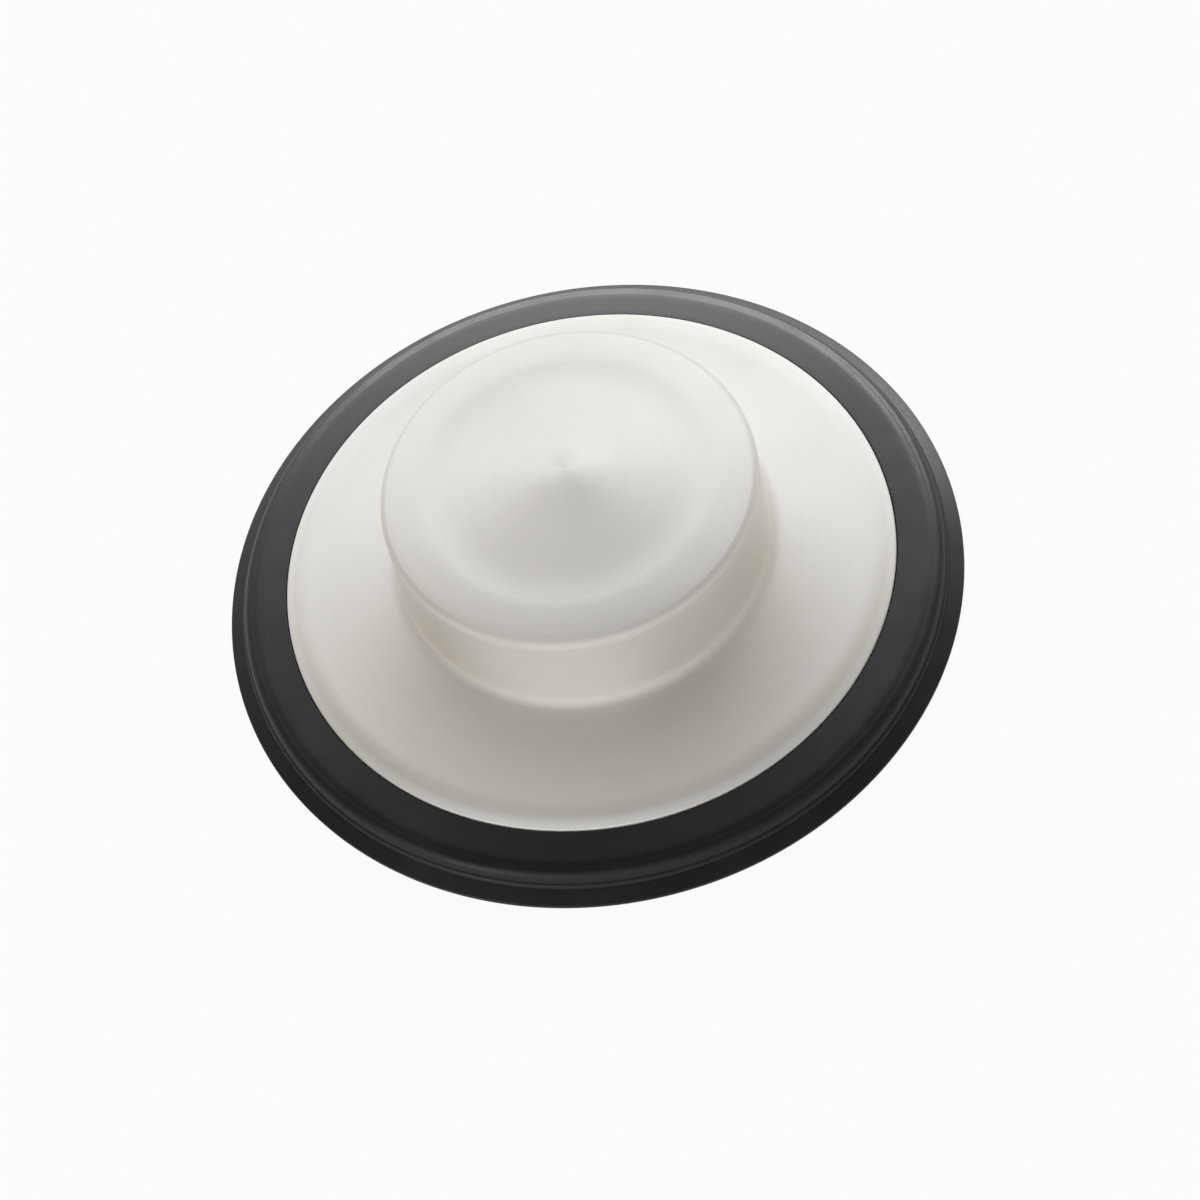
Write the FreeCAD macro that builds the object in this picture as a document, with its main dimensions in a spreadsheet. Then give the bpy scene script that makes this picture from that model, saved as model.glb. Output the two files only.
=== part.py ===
import FreeCAD, Part
import math
import os
import Sketcher

# Drop-in drain stopper. Millimetres, +Z up, origin at the centre of the rest plane.

SIZES = [
    # rubber seal, from the outer lip inwards
    ("seal_diameter", 86.0, "across the outer sealing lip"),
    ("lip_width", 1.62, "lip outside the wall"),
    ("wall_flare", 0.33, "outward lean of the wall below the bead"),
    ("bead_width", 1.33, "bead at the foot of the shoulder"),
    ("shoulder_width", 0.82, "rounded shoulder"),
    ("band_width", 3.4, "gently falling band round the metal rim"),
    # rubber seal, from the rest plane upwards
    ("skirt_drop", 3.5, "skirt below the lip"),
    ("lip_thickness", 0.45, "lip at its edge"),
    ("lip_rise", 0.9, "slope of the lip up to the wall"),
    ("wall_height", 0.6, "wall from lip to bead"),
    ("bead_drop", 1.55, "bead from shoulder to wall"),
    ("shoulder_drop", 0.24, "shoulder from band to bead"),
    ("band_fall", 0.36, "band from the metal rim to the shoulder"),
    ("wall_bulge", 0.1, "height of the wall off its chord"),
    ("bead_bulge", 0.38, "height of the bead off its chord"),
    ("shoulder_roll", 3.0, "roundness of the shoulder"),
    ("lip_wall", 1.78, "flexing wall behind the lip"),
    ("groove_width", 2.0, "flex groove under the shoulder"),
    ("web_thickness", 2.0, "rubber above the flex groove"),
    ("skirt_inset", 0.6, "skirt bore inside the metal rim"),
    ("skirt_round", 0.8, "bottom edges of the skirt"),
    ("lip_round", 0.2, "edge of the lip"),
    ("flange_thickness", 2.2, "clamped inner flange"),
    ("clamp_width", 7.0, "flange inside the folded hem"),
    # metal cap
    ("sheet_thickness", 0.5, "drawn sheet"),
    ("rim_roll_width", 3.2, "rolled-over outer part of the brim"),
    ("rim_roll_drop", 1.19, "fall of the rolled part"),
    ("rim_roll", 8.0, "roundness of the rolled part"),
    ("rim_stand", 0.18, "edge of the rim above the seal"),
    ("rim_depth", 0.9, "rim sunk into the seal"),
    ("rim_edge", 0.3, "edge of the rim"),
    ("rim_fold", 0.6, "fold under the rim"),
    ("hem_width", 2.8, "folded edge turned in under the carrier"),
    ("brim_rise", 2.45, "brim from its rolled part to the knob"),
    ("brim_fillet", 1.2, "knob wall into the brim"),
    ("knob_diameter", 42.8, "across the grip"),
    ("knob_height", 12.11, "grip wall above the brim"),
    ("knob_edge", 0.8, "top edge of the grip"),
    ("knob_edge_inside", 0.3, "top edge of the grip, inside"),
    ("crown_drop", 0.78, "sloping ring from cone foot ring to edge"),
    ("crown_roll", 45.0, "roundness of the sloping ring"),
    ("ring_width", 4.6, "sloping ring at the edge of the crown"),
    ("foot_width", 2.8, "near-flat ring at the foot of the cone"),
    ("foot_rise", 0.12, "slope of the near-flat ring"),
    ("cone_rise", 1.9, "low cone on top of the knob"),
    ("tip_run", 1.2, "rounded tip of the cone"),
    # plastic carrier
    ("fit_gap", 0.1, "running gap between assembled pieces"),
    ("core_wall", 2.0, "ring wall inside the knob"),
    ("disc_lap", 1.3, "disc of the carrier over the hem"),
    ("disc_edge", 0.6, "edge of the carrier's disc"),
    ("floor_thickness", 2.4, "floor of the carrier"),
    ("hub_diameter", 14.0, "screw hub"),
    ("rib_count", 6, "ribs in the knob and under the plate"),
    ("rib_width", 1.6, "thickness of a rib"),
    ("rib_setback", 1.0, "ribs below the top of the ring wall"),
    # plate and fasteners
    ("plate_thickness", 2.2, "backing plate"),
    ("seal_washer_thickness", 1.0, "soft washer"),
    ("washer_diameter", 10.0, "outside of both washers"),
    ("washer_thickness", 1.0, "steel washer"),
    ("screw_diameter", 5.0, "screw thread"),
    ("screw_length", 12.0, "screw under the head"),
    ("screw_overhang", 0.8, "screw end past the nut"),
    ("screw_tip", 0.4, "chamfer at the screw end"),
    ("head_diameter", 9.0, "low pan head"),
    ("head_height", 2.0, "low pan head"),
    ("head_round", 1.0, "edge of the pan head"),
    ("socket_flats", 3.0, "hexagon socket across flats"),
    ("socket_depth", 1.3, "hexagon socket"),
    ("nut_flats", 8.0, "nut across flats"),
    ("nut_height", 4.0, "nut"),
    ("thread_gap", 0.05, "between the plain screw and nut threads"),
]

doc = FreeCAD.newDocument("drain_stopper")
sheet = doc.addObject("Spreadsheet::Sheet", "Sizes")
for row, (alias, number, meaning) in enumerate(SIZES, start=1):
    sheet.set(f"A{row}", meaning)
    sheet.set(f"B{row}", str(number))
    sheet.setAlias(f"B{row}", alias)
doc.recompute()


class Size:
    """A size with its present number and the sheet expression that gives it."""

    def __init__(self, text, number):
        self.text = text
        self.number = number

    @staticmethod
    def of(thing):
        return thing if isinstance(thing, Size) else Size(repr(thing), thing)

    def __add__(self, other):
        other = Size.of(other)
        return Size(f"({self.text} + {other.text})", self.number + other.number)

    def __sub__(self, other):
        other = Size.of(other)
        return Size(f"({self.text} - {other.text})", self.number - other.number)

    def __mul__(self, other):
        other = Size.of(other)
        return Size(f"({self.text} * {other.text})", self.number * other.number)

    def __truediv__(self, other):
        other = Size.of(other)
        return Size(f"({self.text} / {other.text})", self.number / other.number)

    def sqrt(self):
        return Size(f"sqrt({self.text})", math.sqrt(self.number))


def size(alias):
    """The sheet's size of that name."""
    return Size(f"Sizes.{alias}", sheet.get(alias))


ZERO = Size("0", 0.0)


def tangent_radius(along, across):
    """Radius of an arc that starts along one direction and moves off it by a step."""
    return (along * along + across * across) / (across * 2)


def bulge_radius(across, down, bulge):
    """Radius of an arc that stands off its chord by the bulge."""
    half_chord = (across * across + down * down).sqrt() / 2
    return tangent_radius(half_chord, bulge)


def point(radius, height):
    return FreeCAD.Vector(radius.number, height.number, 0)


def arc_between(start, end, radius, clockwise):
    """The shorter arc from start to end."""
    chord = end - start
    middle = (start + end) * 0.5
    rise = math.sqrt(max(radius * radius - chord.Length ** 2 / 4, 0))
    left = FreeCAD.Vector(-chord.y, chord.x, 0) / chord.Length
    centre = middle - left * rise if clockwise else middle + left * rise
    first, last = (end, start) if clockwise else (start, end)
    angles = [math.atan2(p.y - centre.y, p.x - centre.x) for p in (first, last)]
    circle = Part.Circle(centre, FreeCAD.Vector(0, 0, 1), radius)
    return Part.ArcOfCircle(circle, *angles)


def make_body(label):
    body = doc.addObject("PartDesign::Body", label)
    body.Label = label
    return body


def add_sketch(body, name, plane, height=None):
    """A sketch on one of the body's own planes, lifted by height where given."""
    sketch = body.newObject("Sketcher::SketchObject", name)
    features = body.Origin.OriginFeatures
    support = next(f for f in features if getattr(f, "Role", "") == plane)
    sketch.AttachmentSupport = [(support, "")]
    sketch.MapMode = "FlatFace"
    if height is not None:
        sketch.setExpression("AttachmentOffset.Base.z", height.text)
    return sketch


def bind(sketch, kind, refs, length):
    """A dimension of the sketch that follows its size."""
    index = sketch.addConstraint(Sketcher.Constraint(kind, *refs, length.number))
    sketch.setExpression(f"Constraints[{index}]", length.text)


def pin_point(sketch, geometry, end, across, up):
    """Hold one end of a line or arc at its place from the sketch's origin."""
    if across is None:
        sketch.addConstraint(Sketcher.Constraint("PointOnObject", geometry, end, -2))
    else:
        bind(sketch, "DistanceX", (-1, 1, geometry, end), across)
    if up is None:
        sketch.addConstraint(Sketcher.Constraint("PointOnObject", geometry, end, -1))
    else:
        bind(sketch, "DistanceY", (-1, 1, geometry, end), up)


def draw_outline(sketch, outline):
    """A closed outline. Each entry is (across, up), None for zero, and may go on with
    the radius and turn, "cw" or "ccw", of an arc that leads to the next entry."""
    corners = [point(entry[0] or ZERO, entry[1] or ZERO) for entry in outline]
    ends = []
    for index, entry in enumerate(outline):
        start = corners[index]
        end = corners[(index + 1) % len(outline)]
        if len(entry) == 2:
            geometry = sketch.addGeometry(Part.LineSegment(start, end))
            ends.append((geometry, 1, 2))
            continue
        radius, turn = entry[2:]
        clockwise = turn == "cw"
        arc = arc_between(start, end, radius.number, clockwise)
        geometry = sketch.addGeometry(arc)
        ends.append((geometry, 2, 1) if clockwise else (geometry, 1, 2))
    for index, (geometry, start, end) in enumerate(ends):
        following, following_start, _ = ends[(index + 1) % len(ends)]
        joint = (geometry, end, following, following_start)
        sketch.addConstraint(Sketcher.Constraint("Coincident", *joint))
    for entry, (geometry, start, end) in zip(outline, ends):
        pin_point(sketch, geometry, start, entry[0], entry[1])
        if len(entry) > 2:
            bind(sketch, "Radius", (geometry,), entry[2])


def turn_about_z(body, name, outline):
    """A solid of revolution from an outline of radii and heights."""
    sketch = add_sketch(body, name + "_outline", "XZ_Plane")
    draw_outline(sketch, outline)
    solid = body.newObject("PartDesign::Revolution", name)
    solid.Profile = sketch
    solid.ReferenceAxis = (sketch, ["V_Axis"])
    solid.Angle = 360
    sketch.Visibility = False
    doc.recompute()
    return solid


def circles_at(shape, radius, height):
    """Names of the shape's circular edges about Z at that radius and height."""
    names = []
    for index, edge in enumerate(shape.Edges, start=1):
        if edge.Degenerated or not isinstance(edge.Curve, Part.Circle):
            continue
        curve = edge.Curve
        near_radius = abs(curve.Radius - radius.number) < 1e-3
        if near_radius and abs(curve.Center.z - height.number) < 1e-3:
            names.append(f"Edge{index}")
    if not names:
        raise ValueError(f"no edge at radius {radius.number}, height {height.number}")
    return names


def round_edges(body, name, places, radius):
    """Fillet the circular edges at the given radii and heights."""
    base = body.Tip
    names = []
    for place in places:
        names.extend(circles_at(base.Shape, *place))
    fillet = body.newObject("PartDesign::Fillet", name)
    fillet.Base = (base, names)
    fillet.setExpression("Radius", radius.text)
    base.Visibility = False
    doc.recompute()
    return fillet


def draw_hexagon(sketch, across_flats):
    """A hexagon about the sketch's origin."""
    across_corners = across_flats * (2 / math.sqrt(3))
    corner_radius = across_corners / 2
    corners = []
    for step in range(6):
        angle = math.radians(60 * step)
        across = corner_radius.number * math.cos(angle)
        up = corner_radius.number * math.sin(angle)
        corners.append(FreeCAD.Vector(across, up, 0))
    sides = []
    for step in range(6):
        side = Part.LineSegment(corners[step], corners[(step + 1) % 6])
        sides.append(sketch.addGeometry(side))
    ring = Part.Circle(FreeCAD.Vector(0, 0, 0), FreeCAD.Vector(0, 0, 1), corner_radius.number)
    guide = sketch.addGeometry(ring, True)
    sketch.addConstraint(Sketcher.Constraint("Coincident", guide, 3, -1, 1))
    bind(sketch, "Radius", (guide,), corner_radius)
    for step in range(6):
        joint = (sides[step], 2, sides[(step + 1) % 6], 1)
        sketch.addConstraint(Sketcher.Constraint("Coincident", *joint))
        sketch.addConstraint(Sketcher.Constraint("PointOnObject", sides[step], 1, guide))
    for step in range(1, 6):
        sketch.addConstraint(Sketcher.Constraint("Equal", sides[0], sides[step]))
    sketch.addConstraint(Sketcher.Constraint("PointOnObject", sides[0], 1, -1))


def cut_hexagon(body, name, across_flats, start, depth, upward):
    """A hexagonal pocket from a height, cut upwards or downwards."""
    sketch = add_sketch(body, name + "_outline", "XY_Plane", start)
    draw_hexagon(sketch, across_flats)
    pocket = body.newObject("PartDesign::Pocket", name)
    pocket.Profile = sketch
    pocket.setExpression("Length", depth.text)
    pocket.Reversed = upward
    sketch.Visibility = False
    doc.recompute()


def add_ribs(body, name, inner, outer, bottom, top):
    """Radial ribs, evenly spaced about Z."""
    sketch = add_sketch(body, name + "_outline", "XY_Plane", bottom)
    width = size("rib_width")
    corners = [(inner, -1), (outer, -1), (outer, 1), (inner, 1)]
    points = [FreeCAD.Vector(across.number, side * width.number / 2, 0) for across, side in corners]
    sides = []
    for step in range(4):
        side = Part.LineSegment(points[step], points[(step + 1) % 4])
        sides.append(sketch.addGeometry(side))
    for step in range(4):
        joint = (sides[step], 2, sides[(step + 1) % 4], 1)
        sketch.addConstraint(Sketcher.Constraint("Coincident", *joint))
    for step, rule in enumerate(("Horizontal", "Vertical", "Horizontal")):
        sketch.addConstraint(Sketcher.Constraint(rule, sides[step]))
    sketch.addConstraint(Sketcher.Constraint("Symmetric", sides[3], 1, sides[3], 2, -1))
    bind(sketch, "DistanceX", (-1, 1, sides[0], 1), inner)
    bind(sketch, "DistanceX", (-1, 1, sides[0], 2), outer)
    bind(sketch, "DistanceY", (sides[1], 1, sides[1], 2), width)
    rib = body.newObject("PartDesign::Pad", name)
    rib.Profile = sketch
    rib.setExpression("Length", (top - bottom).text)
    sketch.Visibility = False
    doc.recompute()
    ring = body.newObject("PartDesign::PolarPattern", name + "_ring")
    ring.Originals = [rib]
    axis = next(f for f in body.Origin.OriginFeatures if getattr(f, "Role", "") == "Z_Axis")
    ring.Axis = (axis, [""])
    ring.Angle = 360
    ring.setExpression("Occurrences", "Sizes.rib_count")
    body.Tip = ring
    doc.recompute()


# Radii of the seal, from the lip inwards to the metal rim.
lip_radius = size("seal_diameter") / 2
wall_radius = lip_radius - size("lip_width")
bead_outer = wall_radius - size("wall_flare")
bead_inner = bead_outer - size("bead_width")
shoulder_start = bead_inner - size("shoulder_width")
rim_radius = shoulder_start - size("band_width")

# Heights of the seal, from the rest plane up to the metal rim.
lip_bottom = size("skirt_drop")
lip_top = lip_bottom + size("lip_thickness")
lip_root = lip_top + size("lip_rise")
bead_foot = lip_root + size("wall_height")
bead_top = bead_foot + size("bead_drop")
shoulder_top = bead_top + size("shoulder_drop")
band_top = shoulder_top + size("band_fall")

# The rolled-over rim, and the hem that is folded in under the carrier.
gap = size("fit_gap")
sheet_wall = size("sheet_thickness")
rim_inside = rim_radius - sheet_wall
rim_edge = band_top + size("rim_stand")
rim_slope = size("rim_roll_drop") / size("rim_roll_width")
rim_edge_under = rim_edge + rim_slope * sheet_wall - sheet_wall
hem_bottom = band_top - size("rim_depth")
hem_top = hem_bottom + sheet_wall
hem_radius = rim_radius - size("hem_width")
brim_end_radius = rim_radius - size("rim_roll_width")
brim_end = rim_edge + size("rim_roll_drop")
brim_end_under = brim_end - sheet_wall

# The brim, the grip wall and the crown.
knob_radius = size("knob_diameter") / 2
knob_inside = knob_radius - sheet_wall
brim_root = brim_end + size("brim_rise")
brim_slope = size("brim_rise") / (brim_end_radius - knob_radius)
brim_root_under = brim_root + brim_slope * sheet_wall - sheet_wall
edge_height = brim_root + size("knob_height")
edge_under = edge_height - sheet_wall
roll_start = knob_radius - size("ring_width")
roll_height = edge_height + size("crown_drop")
cone_radius = roll_start - size("foot_width")
cone_foot = roll_height + size("foot_rise")
cone_slope = size("cone_rise") / cone_radius
tip_run = size("tip_run")
tip_drop = tip_run * cone_slope / 2
tip_radius = tangent_radius(tip_run, tip_drop)
tip_height = cone_foot + size("cone_rise") - tip_run * cone_slope
apex = tip_height + tip_drop

# Drawn metal cap: knob, brim and folded rim in one sheet.
cap = make_body("cap_shell")
crown_roll = size("crown_roll")
rim_roll = size("rim_roll")
turn_about_z(cap, "cap_turn", [
    (None, apex, tip_radius, "cw"),
    (tip_run, tip_height),
    (cone_radius, cone_foot),
    (roll_start, roll_height, crown_roll, "cw"),
    (knob_radius, edge_height),
    (knob_radius, brim_root),
    (brim_end_radius, brim_end, rim_roll, "cw"),
    (rim_radius, rim_edge),
    (rim_radius, hem_bottom),
    (hem_radius, hem_bottom),
    (hem_radius, hem_top),
    (rim_inside, hem_top),
    (rim_inside, rim_edge_under, rim_roll, "ccw"),
    (brim_end_radius, brim_end_under),
    (knob_inside, brim_root_under),
    (knob_inside, edge_under, crown_roll, "ccw"),
    (roll_start, roll_height - sheet_wall),
    (cone_radius, cone_foot - sheet_wall),
    (tip_run, tip_height - sheet_wall, tip_radius, "ccw"),
    (None, apex - sheet_wall),
])
round_edges(cap, "grip_edge", [(knob_radius, edge_height)], size("knob_edge"))
round_edges(cap, "grip_edge_inside", [(knob_inside, edge_under)], size("knob_edge_inside"))
round_edges(cap, "brim_fillet", [(knob_radius, brim_root)], size("brim_fillet"))
brim_fillet_under = size("brim_fillet") + sheet_wall
round_edges(cap, "brim_fillet_under", [(knob_inside, brim_root_under)], brim_fillet_under)
round_edges(cap, "rim_edge", [(rim_radius, rim_edge)], size("rim_edge"))
round_edges(cap, "rim_fold", [(rim_radius, hem_bottom)], size("rim_fold"))

# Plastic carrier: ring wall and ribs inside the knob, disc under the brim, screw hub.
bore = size("screw_diameter") / 2 + gap
washer_seat = hem_bottom - size("plate_thickness")
head_seat = washer_seat - size("seal_washer_thickness") - size("washer_thickness")
nut_top = head_seat + size("screw_length") - size("screw_overhang")
nut_seat = nut_top - size("nut_height")
hub_radius = size("hub_diameter") / 2
core_radius = knob_inside - gap
core_inside = core_radius - size("core_wall")
core_top = edge_under - gap
floor_top = hem_bottom + size("floor_thickness")
disc_radius = hem_radius + size("disc_lap")
carrier = make_body("carrier")
turn_about_z(carrier, "carrier_turn", [
    (bore, hem_bottom),
    (hem_radius - gap, hem_bottom),
    (hem_radius - gap, hem_top),
    (disc_radius, hem_top),
    (disc_radius, hem_top + size("disc_edge")),
    (brim_end_radius, brim_end_under - gap),
    (core_radius, brim_root_under - gap),
    (core_radius, core_top),
    (core_inside, core_top),
    (core_inside, floor_top),
    (hub_radius, floor_top),
    (hub_radius, nut_top),
    (bore, nut_top),
])
round_edges(carrier, "core_edge", [(core_radius, core_top)], size("knob_edge"))
rib_root = size("rib_width") / 2
rib_top = core_top - size("rib_setback")
rib_bottom = floor_top - rib_root
add_ribs(carrier, "carrier_rib", hub_radius - rib_root, core_inside + rib_root, rib_bottom, rib_top)
cut_hexagon(carrier, "nut_pocket", size("nut_flats") + gap * 2, nut_top, size("nut_height"), False)

# Rubber seal: clamped flange, band, shoulder, bead, wall, lip, flex groove and skirt.
flange_inside = hem_radius - size("clamp_width")
flange_bottom = hem_bottom - size("flange_thickness")
recess_radius = rim_radius + gap
groove_outer = wall_radius - size("lip_wall")
groove_top = band_top - size("web_thickness")
skirt_outer = groove_outer - size("groove_width")
skirt_inner = rim_radius - size("skirt_inset")
bead_radius = bulge_radius(size("bead_width"), size("bead_drop"), size("bead_bulge"))
wall_roll = bulge_radius(size("wall_flare"), size("wall_height"), size("wall_bulge"))
seal = make_body("seal")
turn_about_z(seal, "seal_turn", [
    (flange_inside, flange_bottom),
    (flange_inside, hem_bottom),
    (recess_radius, hem_bottom),
    (recess_radius, band_top),
    (shoulder_start, shoulder_top, size("shoulder_roll"), "cw"),
    (bead_inner, bead_top, bead_radius, "cw"),
    (bead_outer, bead_foot, wall_roll, "cw"),
    (wall_radius, lip_root),
    (lip_radius, lip_top),
    (lip_radius, lip_bottom),
    (groove_outer, lip_bottom),
    (groove_outer, groove_top),
    (skirt_outer, groove_top),
    (skirt_outer, None),
    (skirt_inner, None),
    (skirt_inner, flange_bottom),
])
round_edges(seal, "lip_edge", [(lip_radius, lip_top), (lip_radius, lip_bottom)], size("lip_round"))
round_edges(seal, "skirt_edge", [(skirt_outer, ZERO), (skirt_inner, ZERO)], size("skirt_round"))

# Backing plate: ring that clamps the flange, raised middle with ribs, screw hole.
spigot_radius = flange_inside - gap
plate_radius = skirt_inner - gap
plate_bottom = flange_bottom - size("plate_thickness")
dish_radius = spigot_radius - size("plate_thickness")
plate = make_body("backing_plate")
turn_about_z(plate, "plate_turn", [
    (bore, washer_seat),
    (bore, hem_bottom),
    (spigot_radius, hem_bottom),
    (spigot_radius, flange_bottom),
    (plate_radius, flange_bottom),
    (plate_radius, plate_bottom),
    (dish_radius, plate_bottom),
    (dish_radius, washer_seat),
])
boss_radius = size("washer_diameter") / 2 + rib_root * 2
add_ribs(plate, "plate_rib", boss_radius, dish_radius + rib_root, plate_bottom, washer_seat + rib_root)


def make_ring(label, outer, inner, bottom, thickness):
    """A plain washer."""
    body = make_body(label)
    turn_about_z(body, label + "_turn", [
        (inner, bottom),
        (outer, bottom),
        (outer, bottom + thickness),
        (inner, bottom + thickness),
    ])
    return body


# Washers under the screw head.
washer_radius = size("washer_diameter") / 2
washer_bottom = washer_seat - size("seal_washer_thickness")
soft = make_ring("sealing_washer", washer_radius, bore, washer_bottom, size("seal_washer_thickness"))
steel = make_ring("flat_washer", washer_radius, bore, head_seat, size("washer_thickness"))

# Low pan-head screw with a hexagon socket.
shank_radius = size("screw_diameter") / 2
head_radius = size("head_diameter") / 2
head_bottom = head_seat - size("head_height")
screw_end = head_seat + size("screw_length")
screw_tip = size("screw_tip")
screw = make_body("centre_screw")
turn_about_z(screw, "screw_turn", [
    (None, head_bottom),
    (head_radius, head_bottom),
    (head_radius, head_seat),
    (shank_radius, head_seat),
    (shank_radius, screw_end - screw_tip),
    (shank_radius - screw_tip, screw_end),
    (None, screw_end),
])
round_edges(screw, "head_edge", [(head_radius, head_bottom)], size("head_round"))
cut_hexagon(screw, "socket", size("socket_flats"), head_bottom, size("socket_depth"), True)

# Hexagon nut with a plain bore for its thread.
nut = make_body("hex_nut")
nut_sketch = add_sketch(nut, "nut_outline", "XY_Plane", nut_seat)
draw_hexagon(nut_sketch, size("nut_flats"))
nut_pad = nut.newObject("PartDesign::Pad", "nut_pad")
nut_pad.Profile = nut_sketch
nut_pad.setExpression("Length", size("nut_height").text)
nut_sketch.Visibility = False
doc.recompute()
thread_sketch = add_sketch(nut, "thread_outline", "XY_Plane", nut_seat)
thread_radius = shank_radius + size("thread_gap")
thread_circle = Part.Circle(FreeCAD.Vector(0, 0, 0), FreeCAD.Vector(0, 0, 1), thread_radius.number)
thread = thread_sketch.addGeometry(thread_circle)
thread_sketch.addConstraint(Sketcher.Constraint("Coincident", thread, 3, -1, 1))
bind(thread_sketch, "Radius", (thread,), thread_radius)
thread_cut = nut.newObject("PartDesign::Pocket", "thread_cut")
thread_cut.Profile = thread_sketch
thread_cut.Type = "ThroughAll"
thread_cut.Reversed = True
thread_sketch.Visibility = False
doc.recompute()

pieces = [cap, seal, carrier, plate, soft, steel, screw, nut]
doc.recompute()
for item in doc.Objects:
    if "Invalid" in item.State or "Error" in item.State:
        raise RuntimeError(f"{item.Name} did not build: {item.State}")

os.makedirs("parts", exist_ok=True)
for piece in pieces:
    shape = piece.Shape
    if shape.isNull() or not shape.isValid() or len(shape.Solids) != 1:
        raise RuntimeError(f"{piece.Label} is not one valid solid")
    shape.exportStep(f"parts/{piece.Label}.step")
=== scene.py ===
import math
from typing import NamedTuple

import bmesh
import bpy
from bpy.props import FloatProperty, FloatVectorProperty, IntProperty, PointerProperty
from mathutils import Matrix, Vector


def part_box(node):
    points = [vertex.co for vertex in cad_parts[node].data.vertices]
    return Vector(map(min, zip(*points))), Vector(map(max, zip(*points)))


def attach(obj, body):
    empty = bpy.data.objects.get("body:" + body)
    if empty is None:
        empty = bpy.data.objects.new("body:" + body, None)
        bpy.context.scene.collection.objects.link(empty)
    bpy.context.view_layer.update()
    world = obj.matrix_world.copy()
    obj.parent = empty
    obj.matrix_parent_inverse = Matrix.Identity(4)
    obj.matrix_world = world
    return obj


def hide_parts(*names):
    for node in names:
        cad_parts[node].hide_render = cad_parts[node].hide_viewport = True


bl_info = {
    "name": "Drain stopper",
    "version": (1, 0, 0),
    "blender": (4, 5, 0),
    "location": "3D View > Sidebar > Stopper",
    "description": "Dresses a drop-in drain stopper: satin metal cap, rubber seal, plate and screw",
    "category": "Object",
}

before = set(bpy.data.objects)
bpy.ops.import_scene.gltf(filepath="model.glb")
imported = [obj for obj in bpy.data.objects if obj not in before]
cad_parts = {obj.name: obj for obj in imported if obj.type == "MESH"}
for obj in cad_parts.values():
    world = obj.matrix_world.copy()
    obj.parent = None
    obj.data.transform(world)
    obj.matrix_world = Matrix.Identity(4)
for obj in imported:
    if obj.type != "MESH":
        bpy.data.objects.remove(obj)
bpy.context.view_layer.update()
CAP_LOW, CAP_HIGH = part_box("cap_shell")
SEAL_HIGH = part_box("seal")[1]
MM = 0.001

# Turned meshes: arc steps, the fewest of them, the angle of a sharp edge, the radius that counts
# as on the axis, and the share of a side that a rounding may take
CORNER_STEP = math.radians(6.0)
BOW_STEP = math.radians(5.0)
TIP_STEP = math.radians(2.0)
ROLL_STEP = math.radians(3.0)
BRIM_STEP = math.radians(0.85)
FEWEST_STEPS = 3
SHARP = math.radians(38.0)
ON_AXIS = 1e-7
ROUNDING_ROOM = 0.49

# Cap: roundness between cone and ring, and the bands of its finish, off the edges that they follow
CROWN_BLEND = 30.0 * MM
KNOB_EDGE_BAND = (-0.9 * MM, -0.3 * MM)
KNOB_TOP_BAND = (-4.2 * MM, -3.2 * MM)
CREASE_BAND = (0.4 * MM, 1.8 * MM)
# The rim band also carries a painted highlight: the metal's colour is lighter there
RIM_BAND = (-1.3 * MM, -0.4 * MM)

# Brush and tool lines: radius inside which they no longer turn, and their spread round the axis
LINE_CENTRE = 0.5 * MM
LINE_SPREAD = 2.5
TOOL_PITCH = 0.12 * MM

# Colours: what each mark adds to the change from one tone to the other
FINE_SHARE = 0.7
BLOOM_SHARE = 0.5
PIT_SHARE = 0.3
LINE_SHARE = 0.6
STAIN_SHARE = 0.3

# Roughness: the middle of a noise, and what each mark changes or adds
MIDDLE = 0.5
RUBBER_GRAIN = 0.14
RUBBER_BLOOM = 0.06
PLASTIC_GRAIN = 0.2
STEEL_LINES = 0.2
STEEL_STAIN = 0.08

# Seal: waves of the lip, each a count round it, a start and a share
LIP_WAVES = ((3, 0.7, 0.6), (7, 2.1, 0.4))

# Stage: floor, how white it looks to the camera and in a shine, and the camera's fixed sizes
FLOOR_HALF = 3.0
FLOOR_GAP = 0.05 * MM
CAMERA_WHITE = 0.95
SHINE_WHITE = 0.85
SENSOR = 36.0
NEAR_CLIP = 0.01
AIM_LIFT = 0.5 * MM

# Studio: where it dims towards the top, how much of a patch gives the light the patch's colour,
# and the bright patches, each an elevation and the cosines at which it begins and is full
DIM_FROM, DIM_TO = 0.25, 1.0
PATCH_COLOUR = 0.6
BACK_PATCH = (math.radians(24.0), 0.33, 1.1)
LEFT_PATCH = (math.radians(8.0), 0.48, 1.0)
RIGHT_PATCH = (math.radians(10.0), 0.55, 1.0)

# Lamps: distance, and the elevation and size of each
LAMP_DISTANCE = 0.8
BACK_LAMP = (math.radians(24.0), (1.0, 0.25))
FRONT_LAMP = (math.radians(22.0), (0.2, 0.14))


# Properties

def length(name, description, default):
    """A size in metres."""
    return FloatProperty(
        name=name, description=description, default=default, min=0.0, precision=5, unit="LENGTH"
    )


def share(name, description, default):
    """A number from 0 to 1."""
    return FloatProperty(
        name=name, description=description, default=default, min=0.0, max=1.0, subtype="FACTOR"
    )


def tint(name, description, default):
    """A linear colour."""
    return FloatVectorProperty(
        name=name, description=description, default=default, size=3, min=0.0, max=1.0,
        subtype="COLOR"
    )


def level(name, description, default):
    """A brightness of the surroundings."""
    return FloatProperty(name=name, description=description, default=default, min=0.0)


def power(name, description, default):
    """The power of a lamp."""
    return FloatProperty(name=name, description=description, default=default, min=0.0, unit="POWER")


def angle(name, description, degrees):
    """An angle, given in degrees."""
    return FloatProperty(
        name=name, description=description, default=math.radians(degrees), subtype="ANGLE"
    )


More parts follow.
